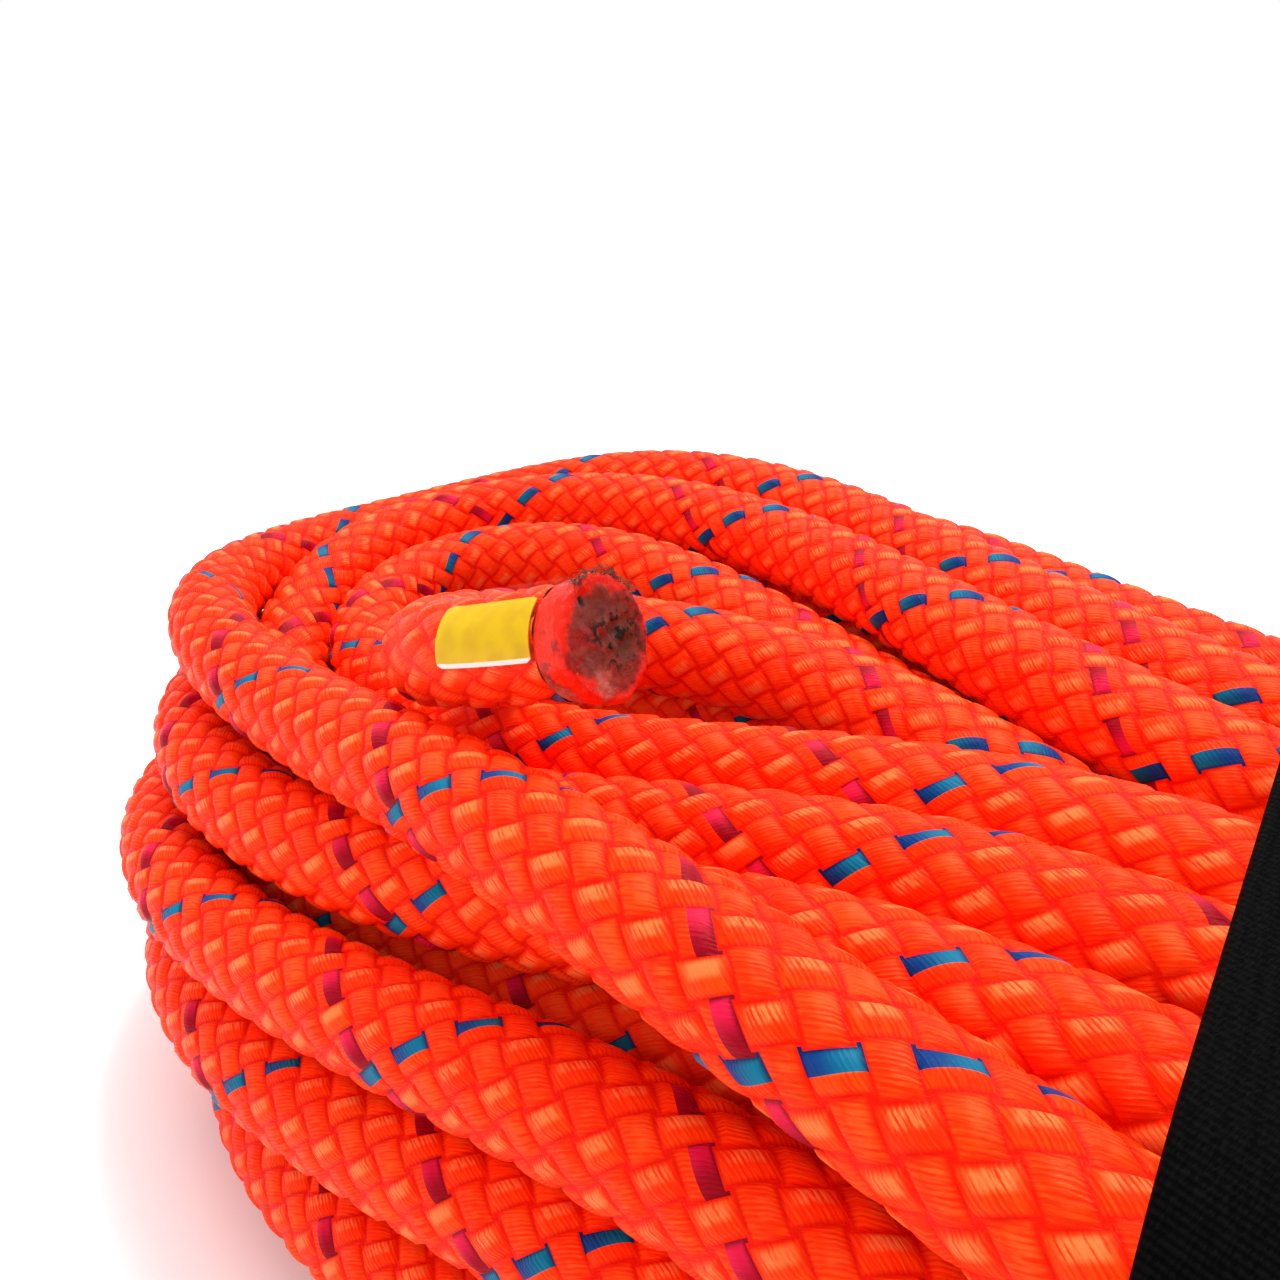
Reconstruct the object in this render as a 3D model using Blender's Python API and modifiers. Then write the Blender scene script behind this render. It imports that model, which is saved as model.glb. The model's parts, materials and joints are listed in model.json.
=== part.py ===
"""Dynamic climbing rope in a hank: turns, two finished rope ends and a closing strap.

Metres, +Z up. The hank lies along X with its strap at the origin, and stands on z = 0.
"""
import bmesh
import bpy
from math import cos, pi, radians, sin, sqrt
from mathutils import Vector

# Rope
ROPE = 0.012                    # rope diameter, which the rest is worked out from
GAP = 0.0003                    # gap between pieces that touch on the real object

# Hank of turns
BIGHT_REACH = 15.5 * ROPE       # from the strap to the end of the loops on either side
BIGHT_HALF = 5.3 * ROPE         # half width of the bights
BIGHT_TOP = 5.1 * ROPE
WAIST_HALF = 4.1 * ROPE         # half width where the strap draws the turns in
WAIST_TOP = 5.8 * ROPE
WAIST_LOW = 0.55 * ROPE         # the drawn-in waist clears the floor by this much
WAIST_FLAT = 1.8 * ROPE         # half length of the even stretch under the strap
SHOULDER = 4.6 * ROPE           # where the hank is back at its full width
EDGE = 1.1 * ROPE               # corner cut of a cross-section

# Rope ends, with radii from the inside out
STRAND = 0.00128                # radius of one core strand
STRANDS_ROUND = 6               # strands round the middle one
CORE_RING = 2 * STRAND + GAP
SHEATH_IN = CORE_RING + STRAND + GAP
SHEATH_OUT = 0.0056             # the sleeve squeezes the sheath to this
LABEL_IN = SHEATH_OUT + GAP
LABEL_OUT = LABEL_IN + 0.00015
SLEEVE_IN = LABEL_OUT + GAP
SLEEVE_OUT = SLEEVE_IN + 0.0004
TIP_LONG = 0.0036
LABEL_LONG = 0.0120
LABEL_FROM_TIP = 0.0042
LABEL_ARC = radians(64)
LABEL_TURN = radians(122)       # middle of the label, round from straight down
SLEEVE_LONG = 0.025

# Strap
STRAP_AT = -0.27 * ROPE         # middle of the strap along X
STRAP_SKEW = 0.39               # the strap runs this far towards -X for each step across to +Y
SKEW_KEPT = 5.0 * ROPE          # the turns follow the skew in full up to here
SKEW_GONE = 10.2 * ROPE         # and not at all from here on
STRAP_WIDE = 0.040
STRAP_THICK = 0.0016
TAPE_THICK = 0.001
TAPE_WIDE = 0.036
FLAP_FROM = 0.002               # where the flap is sewn down, along Y on top of the hank
FLAP_TO = 0.040
TAB_LONG = 0.007

# Routes of the free ends, from where they leave the turns to their faces, in rope diameters
END_A_ROUTE = [(-7.75, -3.08, 5.72), (-7.28, -3.15, 5.88), (-6.77, -3.07, 6.06), (-6.21, -2.91, 6.25),
               (-5.65, -2.73, 6.45)]
END_B_ROUTE = [(7.9, -2.32, 5.74), (7.3, -2.38, 5.92), (6.7, -2.42, 6.12), (6.1, -2.42, 6.34),
               (5.5, -2.4, 6.6)]

COLOURS = {
    "sheath": ((1.0, 0.06, 0.01), 0.5),
    "core": ((0.85, 0.84, 0.8), 0.8),
    "tip": ((0.35, 0.09, 0.05), 0.35),
    "label": ((0.78, 0.46, 0.0), 0.4),
    "sleeve": ((1.0, 0.75, 0.68), 0.1),
    "strap": ((0.008, 0.008, 0.009), 0.6),
    "tape": ((0.012, 0.012, 0.013), 0.9),
}


def empty_scene():
    for thing in list(bpy.data.objects):
        bpy.data.objects.remove(thing)


def new_collection(name, shown=True):
    group = bpy.data.collections.new(name)
    bpy.context.scene.collection.children.link(group)
    group.hide_render = not shown
    return group


def material_for(thing, kind):
    """Each object has a material of its own, in its kind's colour."""
    colour, rough = COLOURS[kind]
    made = bpy.data.materials.new(thing.name + "_" + kind)
    made.use_nodes = True
    surface = made.node_tree.nodes["Principled BSDF"]
    surface.inputs["Base Color"].default_value = (*colour, 1.0)
    surface.inputs["Roughness"].default_value = rough
    surface.inputs["Metallic"].default_value = 0.0
    thing.data.materials.clear()
    thing.data.materials.append(made)


def add_object(name, data, group, kind):
    thing = bpy.data.objects.new(name, data)
    group.objects.link(thing)
    material_for(thing, kind)
    return thing


def mesh_from(bm, name):
    bmesh.ops.recalc_face_normals(bm, faces=bm.faces)
    mesh = bpy.data.meshes.new(name)
    bm.to_mesh(mesh)
    bm.free()
    return mesh


# ---------------------------------------------------------------- hank

def eased(value):
    value = min(max(value, 0.0), 1.0)
    return value * value * (3 - 2 * value)


def hank_section(x):
    """Half width, low and high edge of the hank at x."""
    away = eased((abs(x) - WAIST_FLAT) / (SHOULDER - WAIST_FLAT))
    half = WAIST_HALF + (BIGHT_HALF - WAIST_HALF) * away
    into_end = max(abs(x) - (BIGHT_REACH - BIGHT_HALF), 0.0) / BIGHT_HALF
    half *= sqrt(max(1.0 - into_end ** 2, 0.0))
    low = WAIST_LOW * (1 - away)
    high = WAIST_TOP + (BIGHT_TOP - WAIST_TOP) * away
    return half, low, high


def hank_stations():
    """Places along X: even along the body, and by angle round the two ends."""
    stations = []
    end_steps = 7
    centre = BIGHT_REACH - BIGHT_HALF
    for side in (-1, 1):
        for step in range(1, end_steps):
            angle = step * pi / 2 / end_steps
            stations.append(side * (centre + BIGHT_HALF * cos(angle)))
        stations += [side * centre, side * (centre + SHOULDER) / 2, side * SHOULDER]
        stations += [side * (WAIST_FLAT + (SHOULDER - WAIST_FLAT) * part) for part in (0, 0.35, 0.7)]
    return sorted(set(stations))


def strap_shift(y):
    """How far along X the strap's middle lies, y metres across."""
    return STRAP_AT - STRAP_SKEW * y


def section_outline(half, low, high):
    """Eight corners of a cross-section with its corners cut off."""
    cut = min(EDGE, half * 0.5)
    return [(half - cut, low), (half, low + cut), (half, high - cut), (half - cut, high),
            (cut - half, high), (-half, high - cut), (-half, low + cut), (cut - half, low)]


def make_hank(group):
    """The outer shape of all the turns: an outline with round ends, drawn in at the strap."""
    bm = bmesh.new()
    rings = []
    for x in hank_stations():
        outline = section_outline(*hank_section(x))
        share = min(max((SKEW_GONE - abs(x)) / (SKEW_GONE - SKEW_KEPT), 0.0), 1.0)
        rings.append([bm.verts.new((x + strap_shift(y) * share, y, z)) for y, z in outline])
    for ring, following in zip(rings, rings[1:]):
        for corner in range(len(ring)):
            after = (corner + 1) % len(ring)
            bm.faces.new((ring[corner], ring[after], following[after], following[corner]))
    bm.faces.new(rings[0])
    bm.faces.new(list(reversed(rings[-1])))
    return add_object("hank_turns", mesh_from(bm, "hank_turns"), group, "sheath")


# ---------------------------------------------------------------- rope ends

def points_along(route, count):
    """A smooth curve through the route's own points, read at an even spacing."""
    knots = [Vector(point) * ROPE for point in route]
    knots = [knots[0] * 2 - knots[1]] + knots + [knots[-1] * 2 - knots[-2]]
    fine = []
    per_span = 16
    for first in range(len(knots) - 3):
        a, b, c, d = knots[first:first + 4]
        for step in range(per_span):
            t = step / per_span
            fine.append(0.5 * (2 * b + (c - a) * t + (2 * a - 5 * b + 4 * c - d) * t * t
                               + (3 * b - a - 3 * c + d) * t ** 3))
    fine.append(knots[-2])
    lengths = [0.0]
    for here, there in zip(fine, fine[1:]):
        lengths.append(lengths[-1] + (there - here).length)
    read = []
    for step in range(count):
        wanted = lengths[-1] * step / (count - 1)
        last = next((n for n in range(1, len(lengths)) if lengths[n] >= wanted), len(lengths) - 1)
        part = (wanted - lengths[last - 1]) / (lengths[last] - lengths[last - 1])
        read.append(fine[last - 1].lerp(fine[last], part))
    return read, lengths[-1]


def frame_along(points):
    """A point, its tangent and two directions across it for each point of a line."""
    frames = []
    for n, point in enumerate(points):
        ahead = points[min(n + 1, len(points) - 1)] - points[max(n - 1, 0)]
        tangent = ahead.normalized()
        side = tangent.cross(Vector((0, 0, 1))).normalized()
        frames.append((point, tangent, side, side.cross(tangent)))
    return frames


def stretch(frames, total, start, end):
    """The frames from start to end metres before the rope's own face."""
    step = total / (len(frames) - 1)
    picked = []
    count = max(2, round((start - end) / (step * 1.01)) + 1)
    for n in range(count):
        place = (total - start + (start - end) * n / (count - 1)) / step
        low = min(int(place), len(frames) - 2)
        part = place - low
        a, b = frames[low], frames[low + 1]
        picked.append(tuple(u.lerp(v, part) for u, v in zip(a, b)))
    return picked


def offset_line(frames, right, up):
    return [point + side * right + over * up for point, _, side, over in frames]


def add_tube(name, line, radius, group, kind, sides=2):
    """A closed round bar along a line."""
    curve = bpy.data.curves.new(name, "CURVE")
    curve.dimensions = "3D"
    curve.bevel_depth = radius
    curve.bevel_resolution = sides
    curve.use_fill_caps = True
    spline = curve.splines.new("POLY")
    spline.points.add(len(line) - 1)
    for knot, point in zip(spline.points, line):
        knot.co = (*point, 1.0)
    return add_object(name, curve, group, kind)


def add_shell(name, frames, inner, outer, group, kind, arc=2 * pi, middle=0.0, steps=24):
    """A hollow tube, or an arc of one, along the frames: an open surface with Solidify."""
    bm = bmesh.new()
    closed = arc > 2 * pi - 0.001
    count = steps if closed else steps + 1
    rings = []
    for point, _, side, over in frames:
        ring = []
        for n in range(count):
            angle = middle + arc * (n / steps - 0.5)
            ring.append(bm.verts.new(point + (side * sin(angle) - over * cos(angle)) * outer))
        rings.append(ring)
    for ring, following in zip(rings, rings[1:]):
        for n in range(steps):
            after = (n + 1) % count
            bm.faces.new((ring[n], following[n], following[after], ring[after]))
    mesh = bpy.data.meshes.new(name)
    bm.to_mesh(mesh)
    bm.free()
    thing = add_object(name, mesh, group, kind)
    solid = thing.modifiers.new("wall", "SOLIDIFY")
    solid.thickness = outer - inner
    solid.offset = -1.0 if mesh.polygons[0].normal.dot(
        mesh.polygons[0].center - frames[0][0]) > 0 else 1.0
    return thing


def make_rope_end(letter, route, label_turn, group):
    """Sheath, core strands, melted tip, label and clear sleeve of one free end."""
    line, total = points_along(route, 13)
    frames = frame_along(line)
    sheath = stretch(frames, total, total, TIP_LONG + GAP)
    name = "end_" + letter
    add_shell(name + "_sheath", sheath, SHEATH_IN, SHEATH_OUT, group, "sheath")
    add_tube(name + "_core_1", offset_line(sheath, 0, 0), STRAND, group, "core")
    for strand in range(STRANDS_ROUND):
        angle = 2 * pi * strand / STRANDS_ROUND
        across = (CORE_RING * cos(angle), CORE_RING * sin(angle))
        add_tube(f"{name}_core_{strand + 2}", offset_line(sheath, *across), STRAND, group, "core")
    tip = stretch(frames, total, TIP_LONG, 0.0)
    add_tube(name + "_tip", offset_line(tip, 0, 0), SHEATH_OUT, group, "tip", sides=4)
    label = stretch(frames, total, LABEL_FROM_TIP + LABEL_LONG, LABEL_FROM_TIP)
    add_shell(name + "_label", label, LABEL_IN, LABEL_OUT, group, "label",
              arc=LABEL_ARC, middle=label_turn, steps=12)
    sleeve = stretch(frames, total, SLEEVE_LONG, TIP_LONG * 0.4)
    add_shell(name + "_sleeve", sleeve, SLEEVE_IN, SLEEVE_OUT, group, "sleeve")


# ---------------------------------------------------------------- strap

def band_outline(grow):
    """The line of the strap round the waist, grow metres clear of the turns."""
    half = WAIST_HALF + grow
    low = WAIST_LOW - grow
    high = WAIST_TOP + grow
    radius = EDGE + grow
    outline = []
    corners = ((half, high, 0), (-half, high, 1), (-half, low, 2), (half, low, 3))
    for y, z, quarter in corners:
        inward_y = -radius if y > 0 else radius
        inward_z = -radius if z == high else radius
        for step in range(5):
            angle = (quarter + step / 4) * pi / 2
            outline.append((y + inward_y + radius * cos(angle), z + inward_z + radius * sin(angle)))
    return outline


def make_band(group):
    """A flat band: its line extruded along X, with Solidify for its thickness."""
    bm = bmesh.new()
    outline = band_outline(GAP)
    near = [bm.verts.new((strap_shift(y) - STRAP_WIDE / 2, y, z)) for y, z in outline]
    far = [bm.verts.new((strap_shift(y) + STRAP_WIDE / 2, y, z)) for y, z in outline]
    for n in range(len(near)):
        after = (n + 1) % len(near)
        bm.faces.new((near[n], far[n], far[after], near[after]))
    mesh = bpy.data.meshes.new("strap_band")
    bm.to_mesh(mesh)
    bm.free()
    band = add_object("strap_band", mesh, group, "strap")
    wall = band.modifiers.new("webbing", "SOLIDIFY")
    wall.thickness = STRAP_THICK
    face = mesh.polygons[0]
    wall.offset = 1.0 if face.normal.dot(face.center - Vector((0, 0, WAIST_TOP / 2))) > 0 else -1.0


def add_slab(name, low, high, origin, group, kind, bevel):
    """A block with the strap's skew from its low corner to its high one, with its own origin."""
    bm = bmesh.new()
    bmesh.ops.create_cube(bm, size=1.0)
    size = Vector(high) - Vector(low)
    centre = (Vector(high) + Vector(low)) / 2 - Vector(origin)
    for corner in bm.verts:
        corner.co = Vector(a * b for a, b in zip(corner.co, size)) + centre
        corner.co.x += strap_shift(corner.co.y + origin[1])
    slab = add_object(name, mesh_from(bm, name), group, kind)
    slab.location = origin
    edge = slab.modifiers.new("edge", "BEVEL")
    edge.width = bevel
    edge.segments = 2
    return slab


def make_closing(group):
    """Loop tape on the band, and the flap that lifts off it with its hook tape and pull tab."""
    top = WAIST_TOP + GAP + STRAP_THICK
    loop_low = top + GAP
    hook_low = loop_low + TAPE_THICK + GAP
    flap_low = hook_low + TAPE_THICK + GAP
    flap_high = flap_low + STRAP_THICK
    hinge = (0.0, FLAP_FROM, flap_low)
    tape = TAPE_WIDE / 2
    wide = STRAP_WIDE / 2
    inset = 0.003
    add_slab("strap_loop_tape", (-tape, FLAP_FROM, loop_low),
             (tape, FLAP_TO - TAB_LONG, loop_low + TAPE_THICK),
             (0, FLAP_FROM, loop_low), group, "tape", 0.0002)
    add_slab("strap_hook_tape", (-tape, FLAP_FROM + inset, hook_low),
             (tape, FLAP_TO - TAB_LONG - GAP, hook_low + TAPE_THICK), hinge, group, "tape", 0.0002)
    add_slab("strap_flap", (-wide, FLAP_FROM, flap_low), (wide, FLAP_TO, flap_high),
             hinge, group, "strap", 0.0004)
    add_slab("strap_pull_tab", (-wide, FLAP_TO - TAB_LONG, flap_low - GAP - STRAP_THICK),
             (wide, FLAP_TO, flap_low - GAP), hinge, group, "strap", 0.0004)


def main():
    empty_scene()
    rope = new_collection("climbing_rope_hank")
    make_hank(rope)
    make_rope_end("a", END_A_ROUTE, LABEL_TURN, rope)
    make_rope_end("b", END_B_ROUTE, -LABEL_TURN, rope)
    make_band(rope)
    make_closing(rope)


main()
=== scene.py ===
"""Climbing rope in a hank: one long braided rope wound in turns, its two finished ends and its strap.

Metres, +Z up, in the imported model's frame. The hank lies along X with its strap at the origin.
"""
import json
import random
from math import cos, pi, radians, sin, sqrt, tau

import bmesh
import bpy
import numpy as np
from mathutils import Vector, noise
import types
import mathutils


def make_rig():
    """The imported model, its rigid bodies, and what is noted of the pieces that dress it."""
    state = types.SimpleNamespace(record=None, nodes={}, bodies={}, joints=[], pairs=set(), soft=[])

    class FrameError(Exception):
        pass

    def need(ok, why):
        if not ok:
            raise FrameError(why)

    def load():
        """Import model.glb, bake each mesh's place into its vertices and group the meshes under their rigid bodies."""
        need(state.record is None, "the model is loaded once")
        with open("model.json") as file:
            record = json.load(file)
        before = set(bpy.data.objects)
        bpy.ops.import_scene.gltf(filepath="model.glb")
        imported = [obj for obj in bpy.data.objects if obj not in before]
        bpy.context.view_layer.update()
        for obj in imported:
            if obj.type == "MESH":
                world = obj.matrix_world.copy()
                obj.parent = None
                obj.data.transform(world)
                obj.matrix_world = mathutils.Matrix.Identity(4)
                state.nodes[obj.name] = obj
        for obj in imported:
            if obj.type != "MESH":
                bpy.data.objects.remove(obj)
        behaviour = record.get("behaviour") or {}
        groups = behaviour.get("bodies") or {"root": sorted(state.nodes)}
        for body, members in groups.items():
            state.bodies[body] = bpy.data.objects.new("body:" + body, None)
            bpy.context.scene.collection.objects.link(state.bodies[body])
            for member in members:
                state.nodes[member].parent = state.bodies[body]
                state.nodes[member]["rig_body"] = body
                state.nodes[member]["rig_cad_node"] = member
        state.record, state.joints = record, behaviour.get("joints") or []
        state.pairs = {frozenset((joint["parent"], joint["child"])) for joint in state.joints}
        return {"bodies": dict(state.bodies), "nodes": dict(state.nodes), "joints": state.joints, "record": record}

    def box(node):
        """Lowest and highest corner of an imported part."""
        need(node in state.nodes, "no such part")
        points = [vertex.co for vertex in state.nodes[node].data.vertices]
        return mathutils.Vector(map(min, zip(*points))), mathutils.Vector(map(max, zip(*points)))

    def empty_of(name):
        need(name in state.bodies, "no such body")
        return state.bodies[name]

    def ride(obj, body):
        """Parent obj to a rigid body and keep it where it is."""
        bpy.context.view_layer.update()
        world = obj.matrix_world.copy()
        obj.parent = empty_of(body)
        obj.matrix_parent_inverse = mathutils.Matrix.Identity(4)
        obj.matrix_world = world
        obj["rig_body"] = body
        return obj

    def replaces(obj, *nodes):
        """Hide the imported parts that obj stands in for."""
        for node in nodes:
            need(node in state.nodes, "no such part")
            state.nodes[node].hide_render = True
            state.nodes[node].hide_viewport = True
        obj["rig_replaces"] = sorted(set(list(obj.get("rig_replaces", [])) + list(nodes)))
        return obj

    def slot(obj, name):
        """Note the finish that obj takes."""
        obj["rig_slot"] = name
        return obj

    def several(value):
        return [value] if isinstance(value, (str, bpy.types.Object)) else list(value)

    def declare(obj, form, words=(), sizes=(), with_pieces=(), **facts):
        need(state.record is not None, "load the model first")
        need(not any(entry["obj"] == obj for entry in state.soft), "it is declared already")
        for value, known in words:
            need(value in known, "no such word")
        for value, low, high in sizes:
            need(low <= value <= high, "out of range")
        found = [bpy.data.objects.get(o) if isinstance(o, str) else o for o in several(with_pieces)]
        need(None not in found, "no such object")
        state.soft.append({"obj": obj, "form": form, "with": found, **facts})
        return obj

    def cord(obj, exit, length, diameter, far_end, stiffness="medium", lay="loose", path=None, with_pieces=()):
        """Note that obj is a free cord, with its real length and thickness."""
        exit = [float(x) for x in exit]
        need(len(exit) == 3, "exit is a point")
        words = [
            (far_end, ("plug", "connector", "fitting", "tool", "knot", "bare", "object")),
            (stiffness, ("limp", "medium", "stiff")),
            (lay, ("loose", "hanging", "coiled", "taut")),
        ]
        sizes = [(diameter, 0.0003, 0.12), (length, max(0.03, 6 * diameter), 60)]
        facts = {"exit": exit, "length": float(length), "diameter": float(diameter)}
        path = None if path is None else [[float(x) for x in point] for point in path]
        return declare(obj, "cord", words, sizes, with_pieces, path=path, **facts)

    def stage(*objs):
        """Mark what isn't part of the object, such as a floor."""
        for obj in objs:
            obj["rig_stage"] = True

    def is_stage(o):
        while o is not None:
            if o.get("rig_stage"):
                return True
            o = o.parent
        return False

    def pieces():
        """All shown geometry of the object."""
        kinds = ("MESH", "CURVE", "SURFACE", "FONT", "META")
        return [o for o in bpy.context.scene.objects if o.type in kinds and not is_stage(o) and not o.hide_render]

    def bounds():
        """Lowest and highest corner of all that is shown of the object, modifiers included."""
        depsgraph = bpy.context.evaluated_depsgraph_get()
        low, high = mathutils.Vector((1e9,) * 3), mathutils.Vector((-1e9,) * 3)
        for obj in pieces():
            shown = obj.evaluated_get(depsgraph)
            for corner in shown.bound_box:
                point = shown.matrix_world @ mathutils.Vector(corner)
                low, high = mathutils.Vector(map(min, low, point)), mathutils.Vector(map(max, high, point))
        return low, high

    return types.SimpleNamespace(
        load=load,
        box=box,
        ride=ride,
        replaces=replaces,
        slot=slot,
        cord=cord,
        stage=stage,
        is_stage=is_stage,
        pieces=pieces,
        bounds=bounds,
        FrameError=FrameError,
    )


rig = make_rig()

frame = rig.load()
cad_low, cad_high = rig.bounds()

ROPE = 0.012                    # rope diameter

# ---------------------------------------------------------------- the rope's way through the hank
# Everything down to the settling is in rope diameters.

# Places of the strands under the strap: columns from the near side to the far one, rows from the top
COLUMNS = (-3.55, -2.38, -1.22, -0.1, 1.0, 2.2, 3.4)
TOP_ROW = 5.28
LOW_ROW = 1.08
ROWS = 5

# The two piles of strands beside the eye of the hank: outermost strand and height of each row
NEAR_EDGE = (-3.6, -4.4, -5.0, -5.15, -4.95)
FAR_EDGE = (3.9, 4.65, 4.9, 4.95, 4.8)
PILE_LEVEL = (4.45, 3.65, 2.78, 1.75, 0.65)
SIDE_STEP = 1.06                # from one strand to the next inward in a pile

# Between strap and piles: share of the way from the strap at which each guide point of a loop lies, and
# how much of its place under the strap it still has there, across (for strands that move outwards and
# for the others) and in height
STATIONS = (0.13, 0.27, 0.42, 0.60)
FAR_OUTWARD, FAR_STRAIGHT = (0.97, 0.80, 0.45, 0.10), (0.97, 0.5, 0.12, 0.0)
NEAR_OUTWARD, NEAR_STRAIGHT = (0.97, 0.84, 0.45, 0.10), (0.97, 0.48, 0.12, 0.0)
FAR_LEVEL, NEAR_LEVEL = (0.98, 0.85, 0.45, 0.10), (1.0, 0.90, 0.50, 0.12)

REACH = 14.95                   # from the strap to the outermost loop's end
LOOP_STEP = 1.03                # from one loop's end to the next one inside it
ROW_BACK = (0.0, 0.2, 0.1, 1.5, 2.1)
RIGHT_BACK = 0.2

# Each turn: its places under the strap on the far and near side as (column, row), its places in the
# near and far pile as (strands in from the edge, row), how much further its left end reaches, how
# much higher that end is, and how far the end leans towards the far side
TURNS = [
    ((5, 4), (1, 4), (3, 4), (2, 4), 0, 0, 0),
    ((6, 4), (0, 4), (1, 4), (1, 4), 0, 0, 0),
    ((6, 3), (0, 3), (0, 4), (0, 4), 0.3, 0, 0),
    ((5, 3), (1, 3), (2, 4), (1, 3), 0, 0.2, 0),
    ((4, 4), (2, 3), (3, 3), (2, 3), 0, 0, 0),
    ((4, 3), (2, 2), (2, 3), (2, 2), 0, 0, 0),
    ((5, 2), (1, 2), (1, 3), (1, 2), 0, 0, 0),
    ((6, 2), (0, 2), (0, 3), (0, 2.5), -0.9, 0, 0),
    ((6, 1), (0, 1), (0, 2), (0, 1.2), -0.15, -0.3, 0),
    ((5, 1), (1, 1), (1, 2), (1, 0.4), 0.3, 0, 0),
    ((4, 2), (2, 1), (2, 2), (2, 0.6), 0, 0, 0),
    ((4, 1), (3, 0), (1.5, 0.4), (2.2, 0), 0.5, 0.1, 0.3),
    ((4, 0), (2, 0), (1, 1), (0.95, -0.8), 0.7, 0.1, 0.6),
    ((5, 0), (0, 0), (0, 0), (-0.05, -0.9), 0.1, -0.75, -0.5),
    ((6, 0.3), (1, 0), (0, 1), (-1.05, -0.4), -1.0, -0.45, 0),
]
LAST_FAR = (3, 1)
LAST_PILE = (3.2, 0)

# How firmly the stretches stay as laid, from 0 to 1: the left ends of the last turns, last turn first,
# then those of the others, and the rest of the rope
LEFT_HOLDS = (1.0, 1.0, 1.0, 1.0, 0.6, 0.6, 0.6, 0.6)
LEFT_HOLD, RIGHT_HOLD, STRAP_HOLD = 0.15, 0.1, 0.6
END_HOLD, INSIDE_A_HOLD, INSIDE_B_HOLD = 1.0, 0.99, 0.8

# The free ends: their stretches inside the hank, and the open ones up to their faces
END_A_INSIDE = [(-2.3, 0.35, 4.65), (-4.4, 0.5, 4.85), (-6.2, 0.55, 4.95), (-7.7, 0.4, 4.95),
                (-8.75, -0.2, 4.92), (-9.2, -1.0, 5.0), (-9.1, -1.8, 5.2), (-8.75, -2.45, 5.38),
                (-8.25, -2.86, 5.54)]
END_A_ROUTE = [(-7.75, -3.08, 5.72), (-7.28, -3.15, 5.88), (-6.77, -3.07, 6.06), (-6.21, -2.91, 6.25),
               (-5.65, -2.73, 6.45)]
END_B_INSIDE = [(8.7, -2.15, 5.5), (9.7, -1.8, 5.1), (10.4, -0.9, 4.5), (10.4, 0.3, 3.8),
                (9.6, 1.1, 3.0), (7.8, 1.3, 2.2), (5.0, 0.8, 1.5)]
END_B_ROUTE = [(7.9, -2.32, 5.74), (7.3, -2.38, 5.92), (6.7, -2.42, 6.12), (6.1, -2.42, 6.34),
               (5.5, -2.4, 6.6)]

# Settling of the strands against each other
GUIDE_STEPS = 24                # steps of the laid line from one guide point to the next
NODE_STEP = 0.5
PINNED = 6                      # nodes at each free end that stay on their route
ROUNDS = 260
CONTACT = 1.03                  # strands nearer than this push each other away
NEARBY = 1.5                    # pairs nearer than this are watched,
WATCH_ROUNDS = 8                # and are looked up again after this many rounds
PUSH, PUSH_SHARED = 1.3, 0.6    # strength of a push, and how it is divided where several meet
BACK, BACK_HELD = 0.01, 0.05    # share of the way back to the laid line in a round, free and held
SINK = 0.006                    # how far a strand sinks in a round
EVEN_BENDS, LESS_BEND = 0.12, 0.02    # how much of a change of bend, and of a bend, a round takes out
FLOOR_CLEAR = 0.52
STRAP_HALF = 2.6                # the strap draws strands in this far to each side of its middle
STRAP_FADES, STRAP_DRAW = 0.8, 0.5    # the width of its fading edge, and its strength in a round
STRAP_AT = -0.27                # middle of the strap along X
STRAP_SKEW = 0.39               # the strap runs this far towards -X for each step across to the far side
SKEW_FADES = 9.0                # the turns follow the strap's skew up to this far along X
STRAP_INNER = ((-3.0, 1.65), (3.0, 4.7))    # corners, in Y and Z, of the box whose rounded outline
STRAP_ROUND = 0.59                          # at this distance holds the strands in


def under_strap(place):
    column, row = place
    return COLUMNS[column], TOP_ROW - row * (TOP_ROW - LOW_ROW) / (ROWS - 1)


def skewed(points):
    """Points moved along X so that the turns are narrowest under the skewed strap."""
    moved = []
    for x, y, z in points:
        share = max(0.0, 1.0 - abs(x) / SKEW_FADES)
        moved.append((x + (STRAP_AT - STRAP_SKEW * y) * share, y, z))
    return moved


def in_pile(place, edge, side):
    """(y, z) of a strand in the near pile, side 1, or the far one, side -1."""
    inward, row = place
    outermost = np.interp(row, range(ROWS), edge)
    level = np.interp(row, range(ROWS), PILE_LEVEL)
    if row < 0:
        level -= row * (PILE_LEVEL[0] - PILE_LEVEL[1])
    return outermost + side * SIDE_STEP * inward, level


def strap_to_pile(under, pile, shares, level_shares):
    """Points of one side of a loop from near the strap to its pile, their x as a share of its reach."""
    (y, z), (pile_y, pile_z) = under, pile
    return [(station, pile_y + (y - pile_y) * share, pile_z + (z - pile_z) * level_share)
            for station, share, level_share in zip(STATIONS, shares, level_shares)]


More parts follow.
